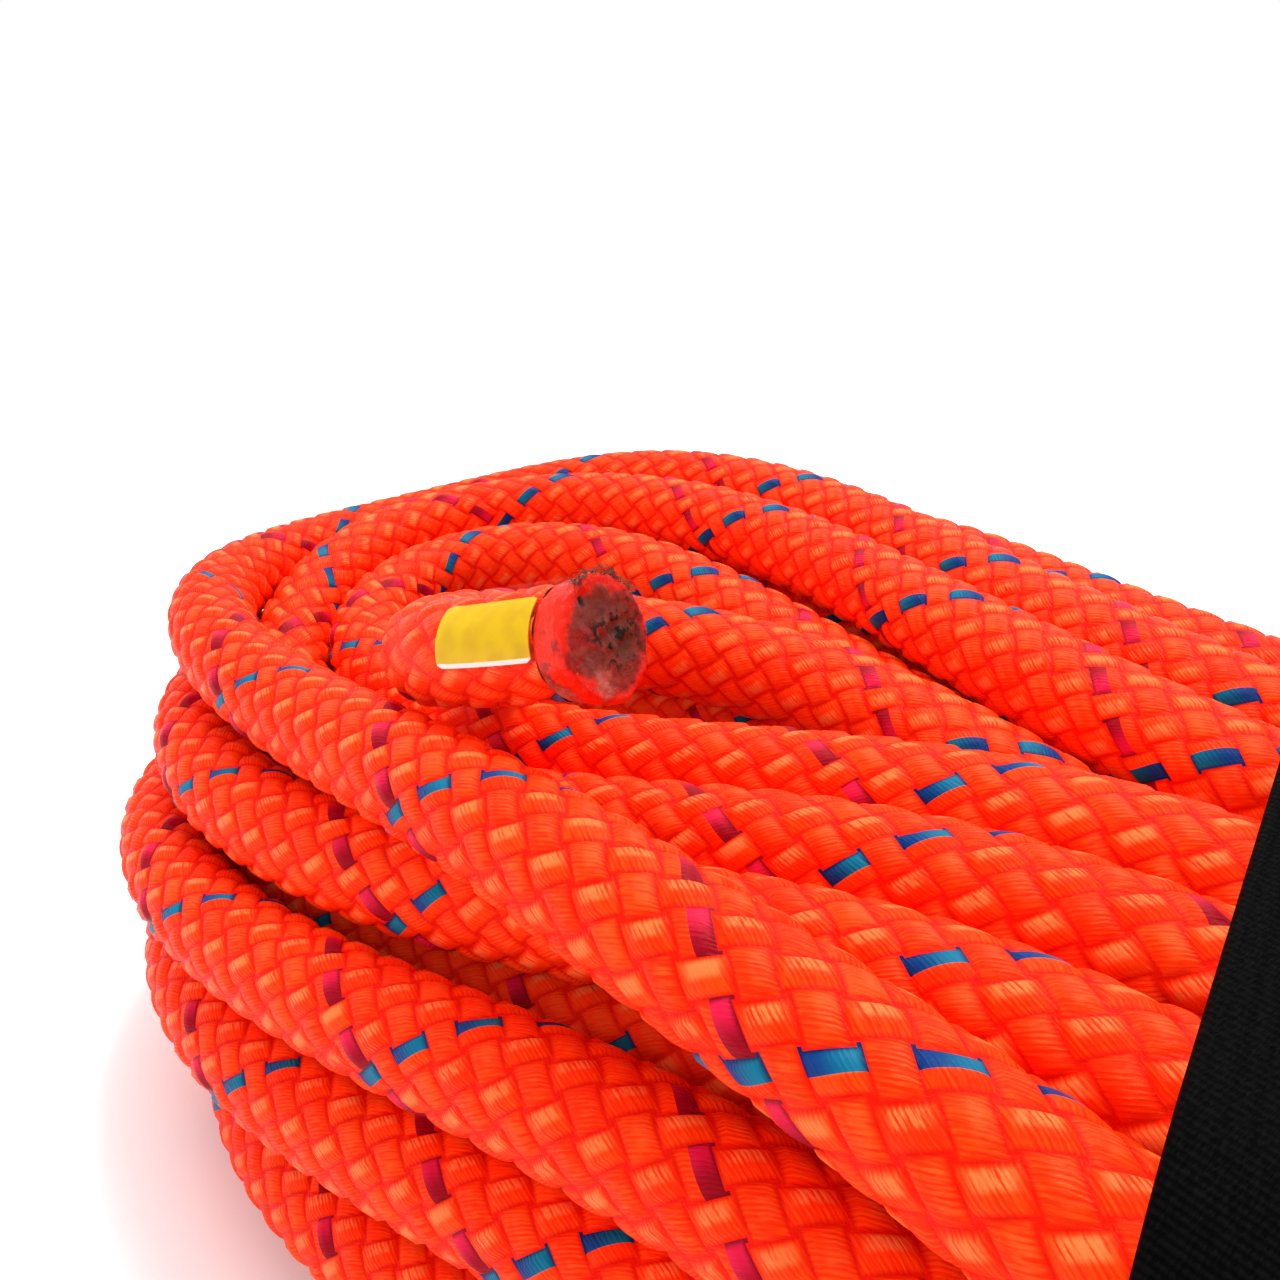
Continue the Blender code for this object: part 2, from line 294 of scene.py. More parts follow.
def loop_points(side, far, near, far_pile, near_pile, reach, end_level, lean):
    """Points of one loop, from the strap's far side round its end and back to the near side."""
    (out_y, out_z), (back_y, back_z) = far_pile, near_pile
    middle = (out_y + back_y) / 2
    half = (out_y - back_y) / 2
    wide_far = abs(out_y) > abs(far[0])
    wide_near = abs(back_y) > abs(near[0]) + 1.0 or abs(near[0]) > 3
    bow = half / reach
    points = strap_to_pile(far, far_pile, FAR_OUTWARD if wide_far else FAR_STRAIGHT, FAR_LEVEL)
    points += [
        (1 - 0.75 * bow, out_y - 0.04 * half, out_z),
        (1 - 0.25 * bow, middle + 0.66 * half, (out_z + end_level) / 2),
        (1.0, middle + 0.08 * half + lean, end_level),
        (1 - 0.12 * bow, middle - 0.45 * half, end_level * 0.7 + back_z * 0.3),
        (1 - 0.37 * bow, middle - 0.85 * half, back_z * 0.75 + end_level * 0.25),
        (1 - 0.79 * bow, back_y, back_z),
    ]
    points += strap_to_pile(near, near_pile, NEAR_OUTWARD if wide_near else NEAR_STRAIGHT, NEAR_LEVEL)[::-1]
    points = [(side * reach * x, y, z) for x, y, z in points]
    return skewed(points if side < 0 else points[::-1])


def lay_turns():
    """Guide points of the whole rope from end B to end A, with how firmly each is held."""
    points = []
    holds = []

    def lay(some, hold):
        points.extend(some)
        holds.extend([hold] * len(some))

    lay(END_B_ROUTE[::-1], END_HOLD)
    lay(END_B_INSIDE, INSIDE_B_HOLD)
    for turn, (far, near, near_place, far_place, further, higher, lean) in enumerate(TURNS):
        from_last = len(TURNS) - 1 - turn
        left_hold = LEFT_HOLDS[from_last] if from_last < len(LEFT_HOLDS) else LEFT_HOLD
        near_pile = in_pile(near_place, NEAR_EDGE, 1)
        far_pile = in_pile(far_place, FAR_EDGE, -1)
        inward = (near_place[0] + far_place[0]) / 2
        row = int(max(near_place[1] + far_place[1], 0) / 2)
        reach = REACH - ROW_BACK[row] - LOOP_STEP * inward + further
        level = (near_pile[1] + far_pile[1]) / 2
        lay(skewed([(0.0, *under_strap(far))]), STRAP_HOLD)
        lay(loop_points(-1, under_strap(far), under_strap(near), far_pile, near_pile, reach,
                        level + higher, lean), left_hold)
        lay(skewed([(0.0, *under_strap(near))]), STRAP_HOLD)
        last = turn == len(TURNS) - 1
        next_far = LAST_FAR if last else TURNS[turn + 1][0]
        next_place = LAST_PILE if last else TURNS[turn + 1][3]
        next_pile = in_pile(next_place, FAR_EDGE, -1)
        inward = max((near_place[0] + next_place[0]) / 2, 0.0)
        row = int(max(near_place[1] + next_place[1], 0) / 2)
        reach = REACH - RIGHT_BACK - ROW_BACK[row] - LOOP_STEP * inward
        lay(loop_points(1, under_strap(next_far), under_strap(near), next_pile, near_pile, reach,
                        (near_pile[1] + next_pile[1]) / 2, 0.0), RIGHT_HOLD)
    lay(skewed([(0.0, *under_strap(LAST_FAR))]), STRAP_HOLD)
    lay(END_A_INSIDE, INSIDE_A_HOLD)
    lay(END_A_ROUTE, END_HOLD)
    return np.array(points, float), np.array(holds, float)


def unit(vectors):
    return vectors / np.linalg.norm(vectors, axis=1)[:, None]


def read_at(places, along, values):
    """Rows of values, known at the lengths along, read at these places."""
    return np.stack([np.interp(places, along, values[:, axis]) for axis in range(3)], 1)


def lengths_along(line):
    return np.concatenate([[0.0], np.cumsum(np.linalg.norm(np.diff(line, axis=0), axis=1))])


def curve_through(points, per_span):
    """A smooth curve through the points, with the same number of steps in each span."""
    spans = np.sqrt(np.linalg.norm(np.diff(points, axis=0), axis=1))[:, None]
    slopes = np.diff(points, axis=0) / spans
    slope_at = np.empty_like(points)
    slope_at[1:-1] = (slopes[:-1] * spans[1:] + slopes[1:] * spans[:-1]) / (spans[1:] + spans[:-1])
    slope_at[0] = slopes[0]
    slope_at[-1] = slopes[-1]
    u = (np.arange(per_span) / per_span)[None, :, None]
    span = spans[:, None]
    fine = ((2 * u ** 3 - 3 * u ** 2 + 1) * points[:-1, None]
            + (u ** 3 - 2 * u ** 2 + u) * span * slope_at[:-1, None]
            + (3 * u ** 2 - 2 * u ** 3) * points[1:, None]
            + (u ** 3 - u ** 2) * span * slope_at[1:, None])
    return np.concatenate([fine.reshape(-1, 3), points[-1:]])


def evenly(line, count):
    """The line read at count even places."""
    along = lengths_along(line)
    return read_at(np.linspace(0, along[-1], count), along, line)


def blurred(values, passes):
    for _ in range(passes):
        values = values.copy()
        values[1:-1] = (values[:-2] + 2 * values[1:-1] + values[2:]) / 4
    return values


def close_pairs(points, within, apart=6):
    """Pairs of nodes of different strands that are close to each other."""
    found = []
    batch = 512
    for start in range(0, len(points), batch):
        gaps = ((points[start:start + batch, None, :] - points[None, :, :]) ** 2).sum(2)
        first, second = np.nonzero(gaps < within ** 2)
        first = first + start
        ordered = second - first > apart
        found.append(np.stack([first[ordered], second[ordered]]))
    return np.concatenate(found, 1)


def push_apart(points, pairs):
    """Strands closer than CONTACT move away from each other, smoothly along their length."""
    first, second = pairs
    between = points[second] - points[first]
    gap = np.sqrt((between ** 2).sum(1)) + 1e-9
    touching = gap < CONTACT
    first, second, gap = first[touching], second[touching], gap[touching]
    shift = (between[touching] / gap[:, None]) * ((CONTACT - gap) * 0.5)[:, None]
    count = len(points)
    push = np.stack([np.bincount(second, shift[:, axis], count) - np.bincount(first, shift[:, axis], count)
                     for axis in range(3)], 1)
    shared = np.bincount(first, minlength=count) + np.bincount(second, minlength=count)
    push /= np.maximum(shared * PUSH_SHARED, 1)[:, None]
    return points + blurred(push, 2) * PUSH


def draw_in(points):
    """The strap holds the strands under it inside its rounded outline."""
    from_middle = np.abs(points[:, 0] - STRAP_AT + STRAP_SKEW * points[:, 1])
    held = np.clip((STRAP_HALF - from_middle) / STRAP_FADES, 0, 1) * STRAP_DRAW
    inner = np.clip(points[:, 1:], *STRAP_INNER)
    out = points[:, 1:] - inner
    far = np.sqrt((out ** 2).sum(1)) + 1e-9
    excess = np.maximum(far - STRAP_ROUND, 0)
    points[:, 1:] -= out * (excess / far * held)[:, None]


def keep_lengths(rope, step):
    """Each node moves so that it is a step from the next."""
    for odd in (0, 1):
        first = np.arange(odd, len(rope) - 1, 2)
        between = rope[first + 1] - rope[first]
        gap = np.sqrt((between ** 2).sum(1)) + 1e-9
        shift = between / gap[:, None] * ((gap - step) * 0.5)[:, None]
        rope[first] += shift
        rope[first + 1] -= shift


def ease_bends(rope):
    """Bends that change along the rope become even, and all of them a little wider."""
    for span in (2, 4):
        bend = (rope[:-2 * span] + rope[2 * span:]) * 0.5 - rope[span:-span]
        uneven = (bend[:-2 * span] + bend[2 * span:]) * 0.5 - bend[span:-span]
        rope[2 * span:-2 * span] -= uneven * EVEN_BENDS
    rope[1:-1] += ((rope[:-2] + rope[2:]) * 0.5 - rope[1:-1]) * LESS_BEND


def settled_rope():
    """The centreline of the rope, after the laid turns have settled on each other and the floor."""
    guides, holds = lay_turns()
    guide_line = curve_through(guides, GUIDE_STEPS)
    along = lengths_along(guide_line)
    count = int(along[-1] / NODE_STEP) + 1
    target = evenly(guide_line, count)
    places = np.linspace(0, along[-1], count)
    hold = np.interp(places, along[::GUIDE_STEPS], holds)[:, None]
    fixed = np.zeros(count, bool)
    fixed[:PINNED] = True
    fixed[-PINNED:] = True
    step = along[-1] / (count - 1)
    rope = target.copy()
    for turn in range(ROUNDS):
        if turn % WATCH_ROUNDS == 0:
            pairs = close_pairs(rope, NEARBY)
        rope += (target - rope) * (BACK + BACK_HELD * hold)
        rope[:, 2] -= SINK * (1 - hold[:, 0])
        for _ in range(2):
            rope = push_apart(rope, pairs)
        rope[:, 2] = np.maximum(rope[:, 2], FLOOR_CLEAR)
        draw_in(rope)
        for _ in range(3):
            keep_lengths(rope, step)
        ease_bends(rope)
        rope[fixed] = target[fixed]
    smooth = blurred(rope, 4)
    smooth[fixed] = target[fixed]
    return smooth


def fine_line(nodes, per_span=12):
    """A cubic spline that follows the nodes, with its two ends on the first and last."""
    ends = [2 * nodes[:1] - nodes[1:2], nodes, 2 * nodes[-1:] - nodes[-2:-1]]
    padded = np.concatenate(ends)
    u = (np.arange(per_span) / per_span)[None, :, None]
    a, b, c, d = (padded[n:len(padded) - 3 + n, None] for n in range(4))
    fine = ((1 - u) ** 3 * a + (3 * u ** 3 - 6 * u ** 2 + 4) * b
            + (-3 * u ** 3 + 3 * u ** 2 + 3 * u + 1) * c + u ** 3 * d) / 6
    return np.concatenate([fine.reshape(-1, 3), nodes[-1:]])


class Line:
    """A centreline in metres with a frame that doesn't twist, read at any length along it."""

    def __init__(self, points):
        self.points = points
        self.along = lengths_along(points)
        self.length = self.along[-1]
        self.tangents = unit(np.gradient(points, self.along, axis=0))
        self.sides = self.carried_sides()

    def carried_sides(self):
        side = Vector(self.tangents[0]).cross(Vector((0, 0, 1))).normalized()
        sides = []
        for tangent in self.tangents:
            ahead = Vector(tangent)
            side = (side - ahead * side.dot(ahead)).normalized()
            sides.append(side[:])
        return np.array(sides)

    def read(self, places):
        """Points, tangents and two directions across, at these lengths along the line."""
        points, tangents, sides = (read_at(places, self.along, values)
                                   for values in (self.points, self.tangents, self.sides))
        tangents = unit(tangents)
        sides = unit(sides - tangents * (sides * tangents).sum(1)[:, None])
        return points, tangents, sides, np.cross(tangents, sides)

    def crossings(self):
        """Lengths at which the line passes under the middle of the strap."""
        x = self.points[:, 0] - STRAP_AT * ROPE + STRAP_SKEW * self.points[:, 1]
        found = np.nonzero((x[:-1] > 0) != (x[1:] > 0))[0]
        return self.along[found]


# ---------------------------------------------------------------- meshes

def outward_faces(mesh):
    form = bmesh.new()
    form.from_mesh(mesh)
    bmesh.ops.recalc_face_normals(form, faces=form.faces)
    form.to_mesh(mesh)
    form.free()


def add_object(name, data):
    thing = bpy.data.objects.new(name, data)
    bpy.context.scene.collection.objects.link(thing)
    return thing


def add_mesh(name, points, faces, material, body, slot, smooth=True, uv=None, uv_name="Braid", turn=True):
    """An object from points and groups of faces, each face a row of corner numbers."""
    mesh = bpy.data.meshes.new(name)
    corners = np.concatenate([np.asarray(group).ravel() for group in faces]).astype(np.int32)
    sizes = np.concatenate([np.full(len(group), np.asarray(group).shape[1]) for group in faces])
    starts = np.concatenate([[0], np.cumsum(sizes)[:-1]]).astype(np.int32)
    mesh.vertices.add(len(points))
    mesh.vertices.foreach_set("co", np.ascontiguousarray(points, np.float32).ravel())
    mesh.loops.add(len(corners))
    mesh.loops.foreach_set("vertex_index", corners)
    mesh.polygons.add(len(sizes))
    mesh.polygons.foreach_set("loop_start", starts)
    mesh.polygons.foreach_set("use_smooth", np.full(len(sizes), smooth))
    if uv is not None:
        layer = mesh.uv_layers.new(name=uv_name)
        layer.data.foreach_set("uv", np.ascontiguousarray(uv, np.float32).ravel())
    mesh.update(calc_edges=True)
    if turn:
        outward_faces(mesh)
    thing = add_object(name, mesh)
    mesh.materials.append(material)
    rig.ride(thing, body)
    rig.slot(thing, slot)
    return thing


def ring_faces(rings, around, closed=True):
    """Quads between rows of points, each row a ring of around points."""
    row, column = np.meshgrid(np.arange(rings - 1), np.arange(around if closed else around - 1),
                              indexing="ij")
    after = (column + 1) % around
    here = row * around
    return np.stack([here + column, here + after, here + around + after, here + around + column],
                    -1).reshape(-1, 4)


# ---------------------------------------------------------------- braided cover

CARRIERS = 8                    # carriers that run each way round the cover, two yarns on each
LEAD = 3.8 * ROPE               # length in which a yarn goes once round
VALLEY = 0.00548                # radius of the cover between the yarns
YARN_RISE = 0.00054
YARN_FLAT, ARCH_FLAT = 2.6, 0.6     # powers that shape a carrier's section, and its rise along its length
PAIR_GROOVE = 0.13              # depth of the groove between a carrier's two yarns, as a share
GROOVE_WIDE = 0.1
TUCK = 0.09                     # gap beside a yarn pair, as a share of the distance between carriers
SLEEVE_LONG = 0.025
SQUEEZED = 0.93                 # the sleeve draws the cover in to this share of its radius
SQUEEZE_OVER = 0.004
TIP_LONG = 0.0036
UV_REPEAT = 2 * CARRIERS        # the pattern is the same again after this much of its coordinate

# Mesh lines across one carrier, by level of detail
MESH_LINES = {
    3: (0.0, 0.33, 0.67),
    6: (0.0, TUCK, 0.29, 0.5, 0.71, 1 - TUCK),
    7: (0.0, TUCK, 0.25, 0.42, 0.58, 0.75, 1 - TUCK),
}


def yarn_profile(across):
    """Height across a carrier's two yarns, from edge to edge."""
    if not 0 < across < 1:
        return 0.0
    groove = PAIR_GROOVE * np.exp(-((across - 0.5) / GROOVE_WIDE) ** 2)
    return (1 - abs(2 * across - 1) ** YARN_FLAT) ** 0.5 * (1 - groove)


def yarn_arch(along):
    """Height along a yarn between the two places where it goes under."""
    return sin(pi * min(max(along, 0.0), 1.0)) ** ARCH_FLAT


def weave_height(across, along):
    """Height of the cover in a cell, across and along the pair on top of it.

    Beside that pair, the ends of the crossing pairs from the next cells show.
    """
    if across < TUCK or across > 1 - TUCK:
        across, along = along, across + (1 if across < 0.5 else -1)
    return yarn_profile((across - TUCK) / (1 - 2 * TUCK)) * yarn_arch((along + TUCK) / (1 + 2 * TUCK))


def cover_radius(places, length):
    """The cover's share of its full radius: it is drawn in under the sleeves at both ends."""
    from_end = np.minimum(places, length - places)
    part = np.clip((from_end - SLEEVE_LONG) / SQUEEZE_OVER, 0, 1)
    return SQUEEZED + (1 - SQUEEZED) * part * part * (3 - 2 * part)


def braid(name, line, start, end, detail, material):
    """A length of the cover. The mesh's lines follow the yarns, detail of them across each carrier."""
    around = CARRIERS * detail
    step = LEAD / (2 * around)
    lines = np.array(MESH_LINES[detail])
    heights = np.array([[weave_height(a, b) for b in lines] for a in lines])
    rows = np.arange(2 * round(start / step / 2), 2 * round(end / step / 2) + 1)

    def carriers(row, column):
        """Numbers of the two mesh lines, one of each family, that cross at a row and column."""
        odd = row % 2
        return column + (row + odd) // 2, column - (row - odd) // 2

    def coordinate(number):
        return number // detail + lines[number % detail]

    one, two = carriers(rows[:, None], np.arange(around)[None, :])
    swapped = (one // detail + two // detail) % 2 == 1
    rise = np.where(swapped, heights[two % detail, one % detail], heights[one % detail, two % detail])
    along = coordinate(one) - coordinate(two)
    angle = (coordinate(one) + coordinate(two)) * pi / CARRIERS
    places = (along * LEAD / (2 * CARRIERS)).ravel()
    points, _, sides, overs = line.read(places)
    radius = (VALLEY + YARN_RISE * rise.ravel()) * cover_radius(places, line.length)
    angle = angle.ravel()
    points = points + sides * (radius * np.cos(angle))[:, None] + overs * (radius * np.sin(angle))[:, None]

    column = np.arange(around)
    middle = np.arange(1, len(rows) - 1)[:, None]
    odd = (rows % 2)[1:-1][:, None]
    corners = [(middle, column), (middle - 1, column + odd), (middle, column + 1), (middle + 1, column + odd)]
    quads = np.stack([np.stack(np.broadcast_arrays(*corner), -1) for corner in corners], 2).reshape(-1, 4, 2)
    first = np.zeros_like(column)
    last = first + len(rows) - 1
    start_faces = [(first, column), (first, column + 1), (first + 1, column)]
    end_faces = [(last - 1, column), (last, column + 1), (last, column)]
    faces = [quads] + [np.stack([np.stack(corner, -1) for corner in group], 1)
                       for group in (start_faces, end_faces)]
    uv = []
    repeats = round(rows[0] / (2 * detail) / UV_REPEAT) * UV_REPEAT
    for group in faces:
        corner_one, corner_two = carriers(rows[group[..., 0].ravel()], group[..., 1].ravel())
        uv.append(np.stack([coordinate(corner_one) - repeats, coordinate(corner_two) + repeats], 1))
    numbered = [group[..., 0] * around + group[..., 1] % around for group in faces]
    return add_mesh(name, points, numbered, material, "hank", "sheath", uv=np.concatenate(uv),
                    turn=False)


def rings(points, sides, overs, radius, around):
    """A ring of points round each point of a line."""
    angle = (tau * np.arange(around) / around)[None, :]
    return (points[:, None, :] + sides[:, None, :] * (np.cos(angle) * radius)[..., None]
            + overs[:, None, :] * (np.sin(angle) * radius)[..., None]).reshape(-1, 3)


def tube(name, points, sides, overs, radius, around, material, body, slot):
    """A closed round bar along a line, with flat ends."""
    quads = ring_faces(len(points), around)
    first = np.arange(around)[::-1][None, :]
    last = (len(points) - 1) * around + np.arange(around)[None, :]
    ring = rings(points, sides, overs, radius, around)
    return add_mesh(name, ring, [quads, first, last], material, body, slot)


# ---------------------------------------------------------------- materials

def linear(colour):
    """A colour from 0-255 values as shown on a screen."""
    return tuple((c / 255 / 12.92) if c <= 10 else ((c / 255 + 0.055) / 1.055) ** 2.4 for c in colour)


class Surface:
    """A Principled material with short calls for the nodes that feed it."""

    def __init__(self, name, colour=(128, 128, 128), roughness=0.5):
        self.material = bpy.data.materials.new(name)
        self.material.use_nodes = True
        self.tree = self.material.node_tree
        self.shader = self.tree.nodes["Principled BSDF"]
        self.set("Base Color", (*linear(colour), 1.0))
        self.set("Roughness", roughness)

    def feed(self, node, socket, value):
        if isinstance(value, bpy.types.NodeSocket):
            self.tree.links.new(value, node.inputs[socket])
        else:
            node.inputs[socket].default_value = value

    def set(self, socket, value):
        self.feed(self.shader, socket, value)

    def new(self, kind):
        return self.tree.nodes.new("ShaderNode" + kind)

    def fed(self, node, inputs, output=0):
        """The node's output, once its inputs, by number or name, are fed."""
        for socket, value in inputs.items():
            self.feed(node, socket, value)
        return node.outputs[output]

    def math(self, operation, *values):
        node = self.new("Math")
        node.operation = operation
        return self.fed(node, dict(enumerate(values)))

    def times(self, a, b):
        return self.math("MULTIPLY", a, b)

    def times_plus(self, a, b, c):
        return self.math("MULTIPLY_ADD", a, b, c)

    def apart(self, a, b):
        """The distance between two numbers."""
        return self.math("ABSOLUTE", self.math("SUBTRACT", a, b))

    def mix(self, share, a, b):
        """Two numbers mixed."""
        return self.fed(self.new("Mix"), {0: share, 2: a, 3: b})

    def mix_colour(self, share, a, b):
        node = self.new("Mix")
        node.data_type = "RGBA"
        a, b = (c if isinstance(c, bpy.types.NodeSocket) else (*linear(c), 1.0) for c in (a, b))
        return self.fed(node, {0: share, 6: a, 7: b}, 2)

    def spread(self, value, low, high, to_low=0.0, to_high=1.0, smooth=True):
        """A value between low and high turned into one between to_low and to_high."""
        node = self.new("MapRange")
        node.interpolation_type = "SMOOTHSTEP" if smooth else "LINEAR"
        return self.fed(node, dict(enumerate((value, low, high, to_low, to_high))))

    def split(self, vector):
        node = self.new("SeparateXYZ")
        self.feed(node, 0, vector)
        return node.outputs

    def join(self, x, y, z):
        return self.fed(self.new("CombineXYZ"), {0: x, 1: y, 2: z})

    def uv(self, name):
        node = self.new("UVMap")
        node.uv_map = name
        return node.outputs[0]

    def tangent(self, name):
        node = self.new("Tangent")
        node.direction_type = "UV_MAP"
        node.uv_map = name
        return node.outputs[0]

    def place(self):
        """A point of the object in metres."""
        return self.new("TexCoord").outputs["Object"]

    def noise(self, vector, scale, detail=2.0, roughness=0.5):
        return self.fed(self.new("TexNoise"), {"Vector": vector, "Scale": scale, "Detail": detail,
                                               "Roughness": roughness})

    def bump(self, height, strength, distance):
        self.set("Normal", self.fed(self.new("Bump"), {"Height": height, "Strength": strength,
                                                       "Distance": distance}))


ORANGE = (255, 38, 2)
ORANGE_LIGHT = (255, 66, 10)
# painted highlight on the orange yarns
ORANGE_SHEEN = (255, 124, 64)
# painted shade for the valleys between orange yarns
ORANGE_VALLEY_SHADE = (230, 14, 2)
BLUE = (0, 54, 118)
# painted shade for the valleys beside blue tracer yarns
BLUE_VALLEY_SHADE = (0, 26, 78)
# painted highlight towards one end of each blue tracer float
BLUE_SHEEN = (0, 108, 140)
DARK_RED = (150, 0, 28)
# painted highlight towards one end of each dark red tracer float
DARK_RED_SHEEN = (222, 22, 66)
# painted shade for the valleys beside dark red tracer yarns
DARK_RED_VALLEY_SHADE = (128, 0, 26)
TRACER_WIDE = 0.56              # share of a pair's width that its tracer yarn shows
TRACER_STEP = 8                 # one carrier in eight has a tracer yarn
TWISTS = 9.0                    # twists of a yarn in the length of a cell
PLIES_SHOW = 0.09
CREST_AT, BAR_AT = 0.46, 0.34   # middle of the highlight, along and across the pair


def cover_material(name, fine):
    """Paired nylon yarns in a plain braid, with a blue tracer one way and a dark red one the other."""
    made = Surface(name, ORANGE, 0.4)
    one, two, _ = made.split(made.uv("Braid"))
    one_part, two_part = made.math("FRACT", one), made.math("FRACT", two)
    cells = made.math("ADD", made.math("FLOOR", one), made.math("FLOOR", two))
    second_over = made.math("GREATER_THAN", made.math("FLOORED_MODULO", cells, 2.0), 0.5)
    across = made.mix(second_over, one_part, two_part)
    along = made.mix(second_over, two_part, one_part)

    # Beside the pair on top, the end of a crossing pair shows
    beside = made.math("GREATER_THAN", made.apart(across, 0.5), 0.5 - TUCK)
    second = made.apart(second_over, beside)
    next_cell = made.times_plus(made.math("LESS_THAN", across, 0.5), 2.0, -1.0)
    shown_across = made.mix(beside, across, along)
    shown_along = made.mix(beside, along, made.math("ADD", across, next_cell))
    shown_across = made.spread(shown_across, TUCK, 1 - TUCK, smooth=False)
    shown_along = made.spread(shown_along, -TUCK, 1 + TUCK, smooth=False)

    carrier = made.math("FLOOR", made.mix(second, one, two))
    length = made.mix(second, two, one)
    shifted = made.math("ADD", carrier, made.times(second, TRACER_STEP / 2))
    tracer = made.math("LESS_THAN", made.math("FLOORED_MODULO", shifted, float(TRACER_STEP)), 0.5)
    tracer = made.times(tracer, made.math("LESS_THAN", shown_across, TRACER_WIDE))
    number = made.math("ADD", made.math("FLOORED_MODULO", carrier, float(CARRIERS)),
                       made.times(second, 31.0))

    # Each yarn is twisted, so its filaments run across it at a slant
    slant = made.times_plus(shown_across, 2.0, made.times(length, TWISTS))
    rough_fibres = made.noise(made.join(slant, shown_across, made.times(number, 3.7)), 1.6, 3.0, 0.6)
    plies = made.math("SINE", made.times(slant, tau))
    filaments = made.times_plus(plies, PLIES_SHOW, rough_fibres)
    pairs = made.noise(made.join(made.times(number, 5.3), made.math("FLOOR", length), 0.5), 1.0, 0.0)
    # Painted shade: the colour darkens from the middle of each float towards its edges and ends, in the valleys
    # between yarns
    edge = made.math("SUBTRACT", 0.5, made.apart(shown_across, 0.5))
    tail = made.math("SUBTRACT", 0.5, made.apart(shown_along, 0.5))
    high = made.spread(made.math("MINIMUM", edge, tail), -0.02, 0.13)

    light = made.times_plus(made.math("SUBTRACT", filaments, 0.5), 1.5,
                            made.times_plus(pairs, 0.6, 0.18))
    body = made.mix_colour(made.spread(light, 0.25, 0.8), ORANGE, ORANGE_LIGHT)
    # Painted highlight: the yarns that run with the blue one are painted lighter at the top of each bend, the first of
    # a pair most
    crest = made.times(made.spread(made.apart(shown_along, CREST_AT), 0.42, 0.18),
                       made.spread(made.apart(shown_across, BAR_AT), 0.3, 0.1))
    painted_sheen = made.times(crest, made.spread(light, 0.1, 0.6))
    painted_sheen = made.times(painted_sheen, made.times_plus(second, -0.6, 0.75))
    body = made.mix_colour(painted_sheen, body, ORANGE_SHEEN)
    # Painted highlight: each tracer float is painted lighter towards one end
    tracer_highlight = made.spread(shown_along, 0.8, 0.15)
    blue = made.mix_colour(tracer_highlight, BLUE, BLUE_SHEEN)
    red = made.mix_colour(tracer_highlight, DARK_RED, DARK_RED_SHEEN)
    body = made.mix_colour(tracer, body, made.mix_colour(second, blue, red))
    # Painted shade: the darker valley colours, mixed in at each float's edges and ends
    deep = made.mix_colour(tracer, ORANGE_VALLEY_SHADE, made.mix_colour(second, BLUE_VALLEY_SHADE, DARK_RED_VALLEY_SHADE))
    made.set("Base Color", made.mix_colour(high, deep, body))
    if fine:
        made.set("Roughness", made.spread(filaments, 0.3, 0.7, 0.46, 0.34))
        made.bump(filaments, 0.45, 0.0003)
        made.set("Anisotropic", 0.7)
        made.set("Anisotropic Rotation", made.times(second, 0.25))
        made.set("Tangent", made.tangent("Braid"))
    made.set("Specular IOR Level", 0.1)
    made.set("Specular Tint", (1.0, 0.5, 0.25, 1.0))
    return made.material


def plain_material(name, colour, roughness, **sockets):
    made = Surface(name, colour, roughness)
    for socket, value in sockets.items():
        made.set(socket.replace("_", " "), value)
    return made.material


def floor_material():
    made = Surface("floor", (238, 238, 240), 0.6)
    shade = made.noise(made.place(), 3.0, 2.0)
    made.set("Base Color", made.mix_colour(shade, (250, 250, 250), (253, 253, 253)))
    return made.material


# ---------------------------------------------------------------- rope

OUTER_TURNS = 4                 # turns at the top that get the finest cover
CORE_RADIUS = 0.42 * ROPE
CORE_SIDES = 12
CORE_STEP = 0.25 * ROPE
FINEST, FINE, PLAIN = 7, 6, 3   # mesh lines across a carrier
HIDDEN_TURNS = (0, 3, 4, 5)     # turns that the others cover


def make_rope(line):
    shown = cover_material("cover", True)
    hidden = cover_material("cover_inside", False)
    cuts = [0.0, *line.crossings()[::2][1:], line.length - TIP_LONG]
    covers = []
    for turn, (start, end) in enumerate(zip(cuts, cuts[1:])):
        if turn in HIDDEN_TURNS:
            detail, material = PLAIN, hidden
        elif turn >= len(cuts) - 1 - OUTER_TURNS:
            detail, material = FINEST, shown
        else:
            detail, material = FINE, shown
        covers.append(braid(f"rope_cover_{turn + 1:02d}", line, start if turn else TIP_LONG, end, detail,
                            material))
    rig.replaces(covers[0], "hank_turns", "end_b_sheath")
    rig.replaces(covers[-1], "hank_turns", "end_a_sheath")
    points, _, sides, overs = line.read(np.arange(TIP_LONG, line.length - TIP_LONG, CORE_STEP))
    core = tube("rope_core", points, sides, overs, CORE_RADIUS, CORE_SIDES,
                plain_material("core", (238, 235, 226), 0.8), "hank", "core")
    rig.replaces(core, *[f"end_{end}_core_{n}" for end in "ab" for n in range(1, 8)])
    return core, points


# ---------------------------------------------------------------- rope ends

